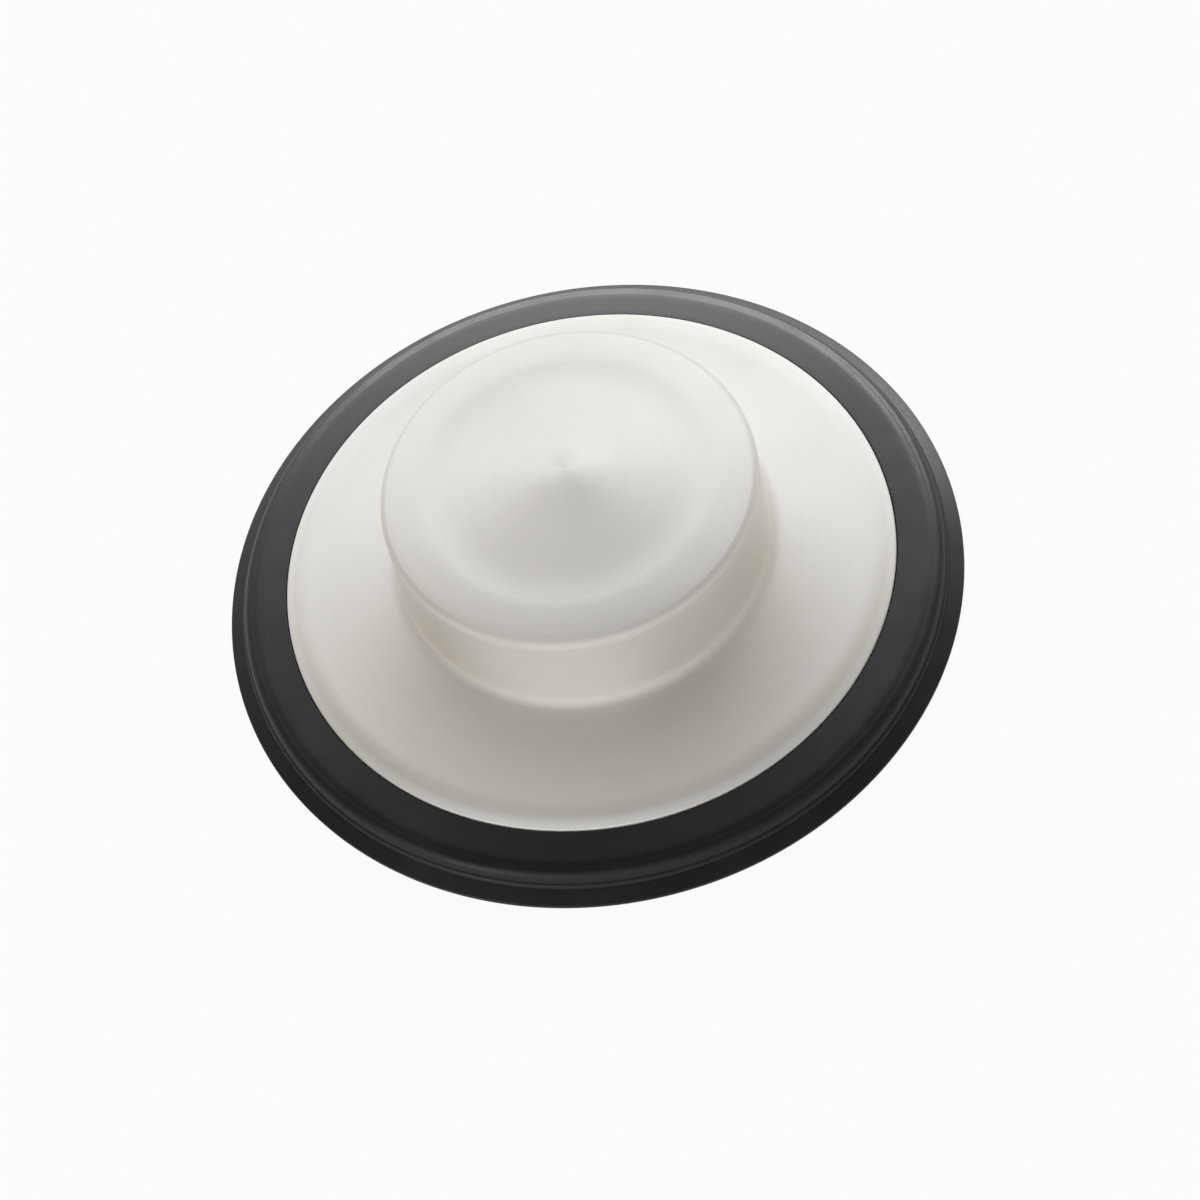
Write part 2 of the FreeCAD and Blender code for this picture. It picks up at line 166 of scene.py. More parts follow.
class CapSettings(bpy.types.PropertyGroup):
    """Sizes and finish of the drawn metal cap."""

    rim_radius: length("Rim radius", "Outside of the folded rim", CAP_HIGH.x)
    apex_height: length("Apex height", "Tip of the cone on the knob", CAP_HIGH.z)
    hem_height: length("Hem height", "Underside of the folded rim", CAP_LOW.z)
    sheet: length("Sheet", "Thickness of the drawn sheet", 0.5 * MM)
    rim_depth: length("Rim depth", "Edge of the rim above the hem", 1.08 * MM)
    roll_width: length("Roll width", "Rolled-over outer part of the brim", 3.2 * MM)
    roll_drop: length("Roll drop", "Fall of the rolled part", 1.19 * MM)
    roll_bulge: length("Roll bulge", "Height of the rolled part off its chord", 0.18 * MM)
    rim_edge: length("Rim edge", "Roundness of the rim's edge", 0.3 * MM)
    rim_fold: length("Rim fold", "Roundness of the fold under the rim", 0.6 * MM)
    hem_width: length("Hem width", "Folded edge turned in under the brim", 2.8 * MM)
    brim_rise: length("Brim rise", "Brim from its rolled part to the knob", 2.45 * MM)
    brim_hollow: length("Brim hollow", "Depth of the brim under its chord", 0.115 * MM)
    brim_fillet: length("Brim fillet", "Knob wall into the brim", 1.2 * MM)
    knob_radius: length("Knob radius", "Grip wall", 21.4 * MM)
    knob_edge: length("Knob edge", "Top edge of the grip", 0.9 * MM)
    ring_width: length("Ring width", "Sloping ring at the edge of the crown", 4.6 * MM)
    ring_drop: length("Ring drop", "Fall of the sloping ring to the edge", 0.78 * MM)
    ring_bulge: length("Ring bulge", "Height of the sloping ring off its chord", 0.06 * MM)
    foot_width: length("Foot width", "Near-flat ring at the foot of the cone", 2.8 * MM)
    foot_drop: length("Foot drop", "Fall of the near-flat ring", 0.12 * MM)
    cone_rise: length("Cone rise", "Low cone on the knob, to its sharp point", 2.04 * MM)
    tip_run: length("Tip run", "Radius of the cone's rounded tip", 3.2 * MM)
    segments: IntProperty(name="Segments", description="Facets round the axis", default=216, min=24)
    metal: tint("Metal", "Satin nickel, lit side", (0.885, 0.85, 0.79))
    metal_deep: tint("Metal, deep", "Satin nickel, in the brush lines", (0.86, 0.825, 0.766))
    # Rim colour: a painted highlight, lighter than the rest of the metal
    metal_rim_highlight: tint("Metal, rim", "Satin nickel, worn brighter at the rim", (0.97, 0.94, 0.89))
    roughness: share("Roughness", "Satin finish", 0.46)
    brush_roughness: share("Brush roughness", "Change of roughness over the brush lines", 0.08)
    mark_roughness: share("Mark roughness", "Extra roughness of the handling marks", 0.03)
    matt_roughness: share("Matt roughness", "Extra roughness where the brush runs out", 0.18)
    rim_roughness: share("Rim roughness", "Extra roughness of the worn rim", 0.06)
    anisotropy: share("Brushing", "Stretch of the shine across the brush lines", 0.6)
    brush_pitch: length("Brush pitch", "Spacing of the circular brush lines", 0.16 * MM)
    broad_pitch: length("Broad pitch", "Spacing of the broader brush lines", 1.44 * MM)


class SealSettings(bpy.types.PropertyGroup):
    """Sizes and finish of the rubber seal."""

    lip_radius: length("Lip radius", "Outside of the sealing lip", SEAL_HIGH.x)
    band_height: length("Band height", "Inner edge of the band round the metal rim", SEAL_HIGH.z)
    band_fall: length("Band fall", "Band from the metal rim to the shoulder", 0.36 * MM)
    shoulder_width: length("Shoulder width", "Rounded shoulder", 0.82 * MM)
    shoulder_drop: length("Shoulder drop", "Shoulder from band to bead", 0.24 * MM)
    shoulder_bulge: length("Shoulder bulge", "Height of the shoulder off its chord", 0.03 * MM)
    bead_width: length("Bead width", "Bead at the foot of the shoulder", 1.33 * MM)
    bead_drop: length("Bead drop", "Bead from shoulder to wall", 1.55 * MM)
    bead_bulge: length("Bead bulge", "Height of the bead off its chord", 0.38 * MM)
    wall_flare: length("Wall flare", "Outward lean of the wall", 0.33 * MM)
    wall_bulge: length("Wall bulge", "Height of the wall off its chord", 0.1 * MM)
    lip_width: length("Lip width", "Lip outside the wall", 1.62 * MM)
    lip_bottom: length("Lip bottom", "Lip above the rest plane", 3.5 * MM)
    lip_thickness: length("Lip thickness", "Lip at its edge", 0.45 * MM)
    lip_rise: length("Lip rise", "Slope of the lip up to the wall", 0.9 * MM)
    lip_round: length("Lip edge", "Roundness of the lip's edge", 0.2 * MM)
    lip_wall: length("Lip wall", "Flexing wall behind the lip", 1.78 * MM)
    groove_width: length("Groove width", "Flex groove under the shoulder", 2.0 * MM)
    groove_round: length("Groove corners", "Roundness of the flex groove", 0.4 * MM)
    web: length("Web", "Rubber above the flex groove", 2.0 * MM)
    skirt_inset: length("Skirt inset", "Skirt bore inside the metal rim", 0.6 * MM)
    skirt_round: length("Skirt edge", "Roundness of the skirt's bottom", 0.8 * MM)
    flange_bottom: length("Flange bottom", "Underside of the clamped flange", 4.5 * MM)
    flange_radius: length("Flange radius", "Bore of the clamped flange", 25.7 * MM)
    fit_gap: length("Fit gap", "Rubber clear of the metal rim", 0.1 * MM)
    ripple: length("Ripple", "Unevenness of the lip", 0.05 * MM)
    segments: IntProperty(name="Segments", description="Facets round the axis", default=240, min=24)
    rubber: tint("Rubber", "Black rubber", (0.004, 0.004, 0.0042))
    bloom: tint("Bloom", "Grey bloom on the rubber", (0.009, 0.009, 0.0095))
    roughness: share("Roughness", "Moulded rubber", 0.4)


class CoreSettings(bpy.types.PropertyGroup):
    """Finishes of the carrier, plate, washers and fasteners."""

    carrier: tint("Carrier", "Natural plastic", (0.56, 0.56, 0.53))
    carrier_deep: tint("Carrier, deep", "Natural plastic, in its flow marks", (0.49, 0.49, 0.47))
    carrier_roughness: share("Carrier roughness", "Moulded plastic", 0.5)
    plate: tint("Plate", "Black plastic", (0.05, 0.05, 0.052))
    plate_deep: tint("Plate, deep", "Black plastic, in its flow marks", (0.038, 0.038, 0.04))
    plate_roughness: share("Plate roughness", "Moulded plastic", 0.46)
    washer: tint("Soft washer", "Black soft rubber", (0.045, 0.045, 0.045))
    washer_deep: tint("Soft washer, deep", "Soft rubber, in its flow marks", (0.03, 0.03, 0.03))
    washer_roughness: share("Soft washer roughness", "Soft rubber", 0.65)
    steel: tint("Steel", "Screw and washer", (0.68, 0.68, 0.67))
    steel_deep: tint("Steel, deep", "Screw and washer, in the tool lines", (0.52, 0.52, 0.51))
    steel_roughness: share("Steel roughness", "Turned steel", 0.3)
    nut: tint("Nut", "Nut", (0.66, 0.66, 0.65))
    nut_deep: tint("Nut, deep", "Nut, in the tool lines", (0.5, 0.5, 0.49))
    nut_roughness: share("Nut roughness", "Turned steel", 0.33)


class StageSettings(bpy.types.PropertyGroup):
    """Floor, light and camera."""

    floor: tint("Floor", "Pale floor", (0.9, 0.9, 0.9))
    sky: tint("Sky", "Colour of the bright patches of light", (0.93, 0.957, 1.0))
    warm_sky: tint("Warm sky", "Warmer colour of the rest of the light", (1.0, 0.955, 0.87))
    horizon: level("Horizon", "Light from the low surroundings", 0.38)
    zenith: level("Zenith", "Light from overhead", 0.19)
    back_glow: level("Back glow", "Extra light from the bright back of the studio", 1.15)
    back_way: angle("Back way", "Direction of the bright back, from +X", 79.0)
    left_glow: level("Left glow", "Extra light from the low front left of the studio", 0.9)
    left_way: angle("Left way", "Direction of the bright front left, from +X", 238.0)
    right_glow: level("Right glow", "Extra light from the low front right of the studio", 0.25)
    right_way: angle("Right way", "Direction of the bright front right, from +X", 305.0)
    back_power: power("Back lamp", "Soft lamp low behind the seal", 10.5)
    back_lamp_way: angle("Back lamp way", "Direction of the back lamp, from +X", 73.0)
    front_power: power("Front lamp", "Small soft lamp at the front left of the seal", 0.75)
    front_lamp_way: angle("Front lamp way", "Direction of the front lamp, from +X", 222.0)
    camera_distance: length("Camera distance", "From the lens to the lip", 0.4)
    camera_elevation: angle("Camera elevation", "Above the horizon", 55.8)
    camera_roll: angle("Camera roll", "Lean of the picture", -15.0)
    camera_lens: FloatProperty(
        name="Camera lens", description="Focal length on a 36 mm sensor", default=103.18,
        unit="CAMERA"
    )
    frame_right: FloatProperty(
        name="Frame right", description="Picture centre, right of the lip's centre", default=0.00026
    )
    frame_down: FloatProperty(
        name="Frame down", description="Picture centre, below the lip's centre", default=0.00675
    )


# Turned shapes

def outline(corners, step=CORNER_STEP, reach=1.0 * MM):
    """Points along a run of corners, each a radius, a height and, where it is rounded, a
    rounding. Straight stretches are cut to the reach."""
    places = [Vector(corner[:2]) for corner in corners]
    points = [places[0]]
    for index, corner in enumerate(corners[1:], start=1):
        inside = index < len(corners) - 1
        if inside and len(corner) == 3:
            stretch = corner_arc(*places[index - 1:index + 2], corner[2], step)
        else:
            stretch = [places[index]]
        start = points[-1]
        gap = stretch[0] - start
        cuts = int(gap.length // reach)
        points += [start + gap * (n / (cuts + 1)) for n in range(1, cuts + 1)]
        points += stretch
    return points


def corner_arc(before, corner, after, rounding, step):
    """Points of the arc that rounds one corner."""
    back = (before - corner).normalized()
    ahead = (after - corner).normalized()
    half = back.angle(ahead) / 2
    room = ROUNDING_ROOM * min((before - corner).length, (after - corner).length)
    tangent = min(rounding / math.tan(half), room)
    radius = tangent * math.tan(half)
    centre = corner + (back + ahead).normalized() * (radius / math.sin(half))
    return sweep(centre, corner + back * tangent, corner + ahead * tangent, step)


def sweep(centre, start, end, step):
    """Points of the shorter way round a centre, from start to end."""
    first, last = start - centre, end - centre
    begin = math.atan2(first.y, first.x)
    turn = math.atan2(first.x * last.y - first.y * last.x, first.dot(last))
    count = max(FEWEST_STEPS, math.ceil(abs(turn) / step))
    angles = [begin + turn * n / count for n in range(count + 1)]
    return [centre + Vector((math.cos(a), math.sin(a))) * first.length for a in angles]


def bowed(start, end, bulge, step=BOW_STEP):
    """Corners between start and end on an arc that bows out to the left of the way."""
    start, end = Vector(start), Vector(end)
    chord = end - start
    half = chord.length / 2
    radius = (half * half + bulge * bulge) / (2 * bulge)
    left = Vector((-chord.y, chord.x)).normalized()
    centre = (start + end) / 2 - left * (radius - bulge)
    return [tuple(point) for point in sweep(centre, start, end, step)[1:-1]]


def turned_mesh(name, points, segments, lift=None):
    """A closed mesh turned about Z from points of radius and height. A point on the axis makes
    a fan, and lift(turn, radius) raises a point."""
    mesh = bmesh.new()
    rings = []
    for point in points:
        radius, height = point
        if radius < ON_AXIS:
            rings.append([mesh.verts.new((0.0, 0.0, height))])
            continue
        ring = []
        for n in range(segments):
            turn = 2 * math.pi * n / segments
            top = height + lift(turn, radius) if lift else height
            ring.append(mesh.verts.new((radius * math.cos(turn), radius * math.sin(turn), top)))
        rings.append(ring)
    for upper, lower in zip(rings, rings[1:] + rings[:1]):
        if len(upper) == len(lower) == 1:
            continue
        for n in range(segments):
            m = (n + 1) % segments
            if len(upper) == 1:
                corners = [upper[0], lower[n], lower[m]]
            elif len(lower) == 1:
                corners = [upper[n], lower[0], upper[m]]
            else:
                corners = [upper[n], lower[n], lower[m], upper[m]]
            mesh.faces.new(corners).smooth = True
    bmesh.ops.recalc_face_normals(mesh, faces=mesh.faces)
    data = bpy.data.meshes.new(name)
    mesh.to_mesh(data)
    mesh.free()
    data.set_sharp_from_angle(angle=SHARP)
    piece = bpy.data.objects.new(name, data)
    bpy.context.scene.collection.objects.link(piece)
    return piece


# Finishes

class Field:
    """One socket of a node tree. Python's operators on it add Math nodes."""

    def __init__(self, nodes, socket):
        self.nodes = nodes
        self.socket = socket

    def __add__(self, other):
        return self.nodes.math("ADD", self, other)

    __radd__ = __add__

    def __sub__(self, other):
        return self.nodes.math("SUBTRACT", self, other)

    def __rsub__(self, other):
        return self.nodes.math("SUBTRACT", other, self)

    def __mul__(self, other):
        return self.nodes.math("MULTIPLY", self, other)

    def __truediv__(self, other):
        return self.nodes.math("DIVIDE", self, other)


class NodeTree:
    """A node tree that is being written."""

    def __init__(self, tree):
        self.tree = tree
        tree.nodes.clear()

    def add(self, kind, settings=None, inputs=None, output=0):
        """Add a node, set it up, feed its sockets and give one of its outputs."""
        node = self.tree.nodes.new(kind)
        for key, value in (settings or {}).items():
            setattr(node, key, value)
        for key, value in (inputs or {}).items():
            if isinstance(value, Field):
                self.tree.links.new(value.socket, node.inputs[key])
            else:
                node.inputs[key].default_value = value
        return Field(self, node.outputs[output]) if node.outputs else None

    def math(self, operation, *values):
        return self.add("ShaderNodeMath", {"operation": operation}, dict(enumerate(values)))

    def ease(self, value, low, high):
        """0 below low, 1 above high, smooth between."""
        inputs = {"Value": value, "From Min": low, "From Max": high}
        return self.add("ShaderNodeMapRange", {"interpolation_type": "SMOOTHSTEP"}, inputs)

    def blend(self, amount, first, second):
        """A colour from first to second."""
        first, second = (c if isinstance(c, Field) else (*c, 1.0) for c in (first, second))
        inputs = {0: amount, 6: first, 7: second}
        return self.add("ShaderNodeMix", {"data_type": "RGBA"}, inputs, output=2)

    def vector(self, x, y, z):
        return self.add("ShaderNodeCombineXYZ", None, {0: x, 1: y, 2: z})

    def noise(self, place, scale, detail=2.0, roughness=0.5):
        inputs = {"Vector": place, "Scale": scale, "Detail": detail, "Roughness": roughness}
        return self.add("ShaderNodeTexNoise", None, inputs)

    def point(self):
        """The point on the part."""
        return self.add("ShaderNodeTexCoord", None, None, "Object")

    def axis(self, vector, index):
        """One coordinate of a vector."""
        return self.add("ShaderNodeSeparateXYZ", None, {0: vector}, index)

    def past(self, value, edge, band):
        """0 to 1 over a band that begins and ends at two distances from an edge."""
        begin, end = band
        return self.ease(value, edge + begin, edge + end)

    def ray(self, kind):
        """1 for rays of one kind."""
        return self.add("ShaderNodeLightPath", None, None, kind)

    def bump(self, height, strength, distance):
        inputs = {"Height": height, "Strength": strength, "Distance": distance}
        return self.add("ShaderNodeBump", None, inputs)


def make_material(name, build, *values):
    """A material whose surface the build function gives."""
    material = bpy.data.materials.new(name)
    material.use_nodes = True
    nodes = NodeTree(material.node_tree)
    surface = build(nodes, *values)
    nodes.add("ShaderNodeOutputMaterial", None, {"Surface": surface})
    return material


class Turning(NamedTuple):
    """Where a point lies on a turned piece: its radius and height, the run along the outline,
    and the coordinates across lines that go round the axis."""

    radius: Field
    height: Field
    run: Field
    lines: Field


def turning(nodes, point, pitch):
    """The place of a point on a piece with circular brush or tool lines."""
    x, y, height = (nodes.axis(point, n) for n in range(3))
    radius = nodes.math("SQRT", x * x + y * y)
    safe = nodes.math("MAXIMUM", radius, LINE_CENTRE)
    run = radius - height
    lines = nodes.vector(x / safe * LINE_SPREAD, y / safe * LINE_SPREAD, run / pitch)
    return Turning(radius, height, run, lines)


def satin_nickel(nodes, cap):
    """Satin nickel, brushed in circles, with a rougher rim painted lighter as a highlight, and
    faint handling marks.
    The knob's edge and the crease at its foot are matt, where the brush runs out."""
    point = nodes.point()
    place = turning(nodes, point, cap.brush_pitch)
    fine = nodes.noise(place.lines, scale=1.0, detail=3.0, roughness=0.6)
    broad = nodes.noise(nodes.vector(0.0, 0.0, place.run / cap.broad_pitch), scale=1.0)
    brush = fine * FINE_SHARE + broad * (1.0 - FINE_SHARE)
    marks = nodes.noise(point, scale=90.0, detail=3.0, roughness=0.55)
    marks = nodes.ease(marks, low=0.42, high=0.72)
    brim_high = cap.hem_height + cap.rim_depth + cap.roll_drop + cap.brim_rise
    edge = nodes.past(place.radius, cap.knob_radius, KNOB_EDGE_BAND)
    high = nodes.past(place.height, cap.apex_height, KNOB_TOP_BAND)
    near_wall = 1.0 - nodes.past(place.radius, cap.knob_radius, CREASE_BAND)
    low = 1.0 - nodes.past(place.height, brim_high, CREASE_BAND)
    matt = nodes.math("MAXIMUM", edge * high, near_wall * low)
    rim_wear_and_highlight = nodes.past(place.radius, cap.rim_radius, RIM_BAND)
    roughness = cap.roughness + (brush - MIDDLE) * cap.brush_roughness
    roughness = roughness + marks * cap.mark_roughness
    roughness = roughness + matt * cap.matt_roughness + rim_wear_and_highlight * cap.rim_roughness
    color = nodes.blend(nodes.ease(brush, low=0.3, high=0.62), cap.metal_deep, cap.metal)
    # Painted highlight: the rim band takes the lighter rim colour
    color = nodes.blend(rim_wear_and_highlight, color, cap.metal_rim_highlight)
    return nodes.add("ShaderNodeBsdfPrincipled", None, {
        "Base Color": color,
        "Metallic": 1.0,
        "Roughness": roughness,
        "Anisotropic": cap.anisotropy,
        "Anisotropic Rotation": 0.25,
        "Normal": nodes.bump(brush, strength=0.1, distance=0.01 * MM),
    })


def moulded_rubber(nodes, seal):
    """Black moulded rubber with a fine grain, a grey bloom and small pits."""
    point = nodes.point()
    grain = nodes.noise(point, scale=5200.0, roughness=0.6)
    pits = nodes.ease(nodes.noise(point, scale=1900.0, detail=1.0), low=0.68, high=0.78)
    bloom = nodes.noise(point, scale=130.0, detail=4.0, roughness=0.6)
    bloom = nodes.ease(bloom, low=0.38, high=0.74)
    tone = bloom * BLOOM_SHARE + pits * PIT_SHARE
    return nodes.add("ShaderNodeBsdfPrincipled", None, {
        "Base Color": nodes.blend(tone, seal.rubber, seal.bloom),
        "Roughness": seal.roughness + (grain - MIDDLE) * RUBBER_GRAIN + bloom * RUBBER_BLOOM,
        "IOR": 1.4,
        "Normal": nodes.bump(grain + pits * PIT_SHARE, strength=0.25, distance=0.03 * MM),
    })


def moulded_plastic(nodes, color, shade, roughness):
    """Moulded plastic with a spark-eroded grain and slow flow marks."""
    point = nodes.point()
    grain = nodes.noise(point, scale=3600.0, roughness=0.6)
    flow = nodes.ease(nodes.noise(point, scale=160.0, detail=3.0), low=0.3, high=0.7)
    return nodes.add("ShaderNodeBsdfPrincipled", None, {
        "Base Color": nodes.blend(flow, shade, color),
        "Roughness": roughness + (grain - MIDDLE) * PLASTIC_GRAIN,
        "IOR": 1.49,
        "Normal": nodes.bump(grain, strength=0.3, distance=0.03 * MM),
    })


def turned_steel(nodes, color, shade, roughness):
    """Stainless steel with fine tool lines round the axis."""
    point = nodes.point()
    lines = nodes.noise(turning(nodes, point, TOOL_PITCH).lines, scale=1.0, roughness=0.6)
    stain = nodes.noise(point, scale=420.0, detail=3.0, roughness=0.6)
    stain = nodes.ease(stain, low=0.45, high=0.75)
    return nodes.add("ShaderNodeBsdfPrincipled", None, {
        "Base Color": nodes.blend(lines * LINE_SHARE + stain * STAIN_SHARE, color, shade),
        "Metallic": 1.0,
        "Roughness": roughness + (lines - MIDDLE) * STEEL_LINES + stain * STEEL_STAIN,
        "Normal": nodes.bump(lines, strength=0.25, distance=0.02 * MM),
    })


def aim(around, elevation):
    """The direction at an angle round from +X and above the floor."""
    flat = math.cos(elevation)
    return Vector((flat * math.cos(around), flat * math.sin(around), math.sin(elevation)))


def dress(node, material):
    """Give a CAD node its finish."""
    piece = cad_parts[node]
    piece.data.materials.clear()
    piece.data.materials.append(material)


def settle(piece, node, material):
    """Put a new piece in the place of a CAD node."""
    piece.data.materials.append(material)
    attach(piece, "root")
    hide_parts(node)


# Operators

class STOPPER_OT_make_cap(bpy.types.Operator):
    """Make the drawn metal cap: cone, grip wall, brim and folded rim"""

    bl_idname = "stopper.make_cap"
    bl_label = "Make cap"

    def execute(self, context):
        cap = context.scene.stopper_cap
        sheet = cap.sheet
        rim, rim_edge = cap.rim_radius, cap.hem_height + cap.rim_depth
        roll_slope = cap.roll_drop / cap.roll_width
        brim_end, brim_low = rim - cap.roll_width, rim_edge + cap.roll_drop
        knob, brim_high = cap.knob_radius, brim_low + cap.brim_rise
        brim_slope = cap.brim_rise / (brim_end - knob)
        roll_start = knob - cap.ring_width
        cone = roll_start - cap.foot_width
        cone_slope = cap.cone_rise / cone
        # A low arc that is level at the apex and meets the cone falls half as far as the cone,
        # and bulges off its chord by a quarter of that fall
        tip_drop = cap.tip_run * cone_slope / 2
        foot = cap.apex_height + tip_drop - cap.cone_rise
        ring = foot - cap.foot_drop
        edge = ring - cap.ring_drop
        apex = (0.0, cap.apex_height)
        tip = (cap.tip_run, cap.apex_height - tip_drop)
        outside = outline([
            apex,
            *bowed(apex, tip, tip_drop / 4, TIP_STEP),
            tip,
            (cone, foot, CROWN_BLEND),
            (roll_start, ring),
            *bowed((roll_start, ring), (knob, edge), cap.ring_bulge, ROLL_STEP),
            (knob, edge, cap.knob_edge),
            (knob, brim_high, cap.brim_fillet),
            *bowed((knob, brim_high), (brim_end, brim_low), -cap.brim_hollow, BRIM_STEP),
            (brim_end, brim_low),
            *bowed((brim_end, brim_low), (rim, rim_edge), cap.roll_bulge, ROLL_STEP),
            (rim, rim_edge, cap.rim_edge),
            (rim, cap.hem_height, cap.rim_fold),
            (rim - cap.hem_width, cap.hem_height),
        ])
        inside = outline([
            (rim - cap.hem_width, cap.hem_height + sheet),
            (rim - sheet, cap.hem_height + sheet),
            (rim - sheet, rim_edge + roll_slope * sheet - sheet),
            (brim_end, brim_low - sheet),
            (knob - sheet, brim_high + brim_slope * sheet - sheet, cap.brim_fillet + sheet),
            (knob - sheet, edge - sheet),
            (roll_start, ring - sheet),
            (cone, foot - sheet),
            (0.0, cap.apex_height - sheet),
        ], reach=math.inf)
        piece = turned_mesh("cap", outside + inside, cap.segments)
        settle(piece, "cap_shell", make_material("satin_nickel", satin_nickel, cap))
        return {"FINISHED"}


class STOPPER_OT_make_seal(bpy.types.Operator):
    """Make the rubber seal: band, shoulder, bead, wall, lip, flex groove and skirt"""

    bl_idname = "stopper.make_seal"
    bl_label = "Make seal"

    def execute(self, context):
        seal = context.scene.stopper_seal
        cap = context.scene.stopper_cap
        wall = seal.lip_radius - seal.lip_width
        bead_end = wall - seal.wall_flare
        bead_start = bead_end - seal.bead_width
        shoulder = bead_start - seal.shoulder_width
        shoulder_top = seal.band_height - seal.band_fall
        bead_top = shoulder_top - seal.shoulder_drop
        bead_foot = bead_top - seal.bead_drop
        lip_top = seal.lip_bottom + seal.lip_thickness
        lip_root = lip_top + seal.lip_rise
        recess = cap.rim_radius + seal.fit_gap
        groove = wall - seal.lip_wall
        groove_top = seal.band_height - seal.web
        skirt = groove - seal.groove_width
        skirt_bore = cap.rim_radius - seal.skirt_inset
        points = outline([
            (seal.flange_radius, cap.hem_height),
            (recess, cap.hem_height),
            (recess, seal.band_height, seal.fit_gap),
            (shoulder, shoulder_top),
            *bowed((shoulder, shoulder_top), (bead_start, bead_top), seal.shoulder_bulge),
            (bead_start, bead_top),
            *bowed((bead_start, bead_top), (bead_end, bead_foot), seal.bead_bulge),
            (bead_end, bead_foot),
            *bowed((bead_end, bead_foot), (wall, lip_root), seal.wall_bulge),
            (wall, lip_root),
            (seal.lip_radius, lip_top, seal.lip_round),
            (seal.lip_radius, seal.lip_bottom, seal.lip_round),
            (groove, seal.lip_bottom, seal.lip_round),
            (groove, groove_top, seal.groove_round),
            (skirt, groove_top, seal.groove_round),
            (skirt, 0.0, seal.skirt_round),
            (skirt_bore, 0.0, seal.skirt_round),
            (skirt_bore, seal.flange_bottom),
            (seal.flange_radius, seal.flange_bottom),
        ])

        def ripple(turn, radius):
            out = max(0.0, (radius - wall) / seal.lip_width)
            wave = sum(math.sin(count * turn + start) * part for count, start, part in LIP_WAVES)
            return seal.ripple * out * wave

        piece = turned_mesh("seal_ring", points, seal.segments, ripple)
        settle(piece, "seal", make_material("moulded_rubber", moulded_rubber, seal))
        return {"FINISHED"}


class STOPPER_OT_dress_core(bpy.types.Operator):
    """Give the carrier and nut inside the cap their finishes"""

    bl_idname = "stopper.dress_core"
    bl_label = "Dress core"

    def execute(self, context):
        core = context.scene.stopper_core
        natural = (core.carrier, core.carrier_deep, core.carrier_roughness)
        dress("carrier", make_material("natural_plastic", moulded_plastic, *natural))
        steel = (core.nut, core.nut_deep, core.nut_roughness)
        dress("hex_nut", make_material("nut_steel", turned_steel, *steel))
        return {"FINISHED"}


class STOPPER_OT_dress_underside(bpy.types.Operator):
    """Give the backing plate, washers and screw their finishes"""

    bl_idname = "stopper.dress_underside"
    bl_label = "Dress underside"

    def execute(self, context):
        core = context.scene.stopper_core
        black = (core.plate, core.plate_deep, core.plate_roughness)
        dress("backing_plate", make_material("plate_plastic", moulded_plastic, *black))
        soft = (core.washer, core.washer_deep, core.washer_roughness)
        dress("sealing_washer", make_material("washer_rubber", moulded_plastic, *soft))
        steel = (core.steel, core.steel_deep, core.steel_roughness)
        fastener = make_material("fastener_steel", turned_steel, *steel)
        for node in ("flat_washer", "centre_screw"):
            dress(node, fastener)
        return {"FINISHED"}


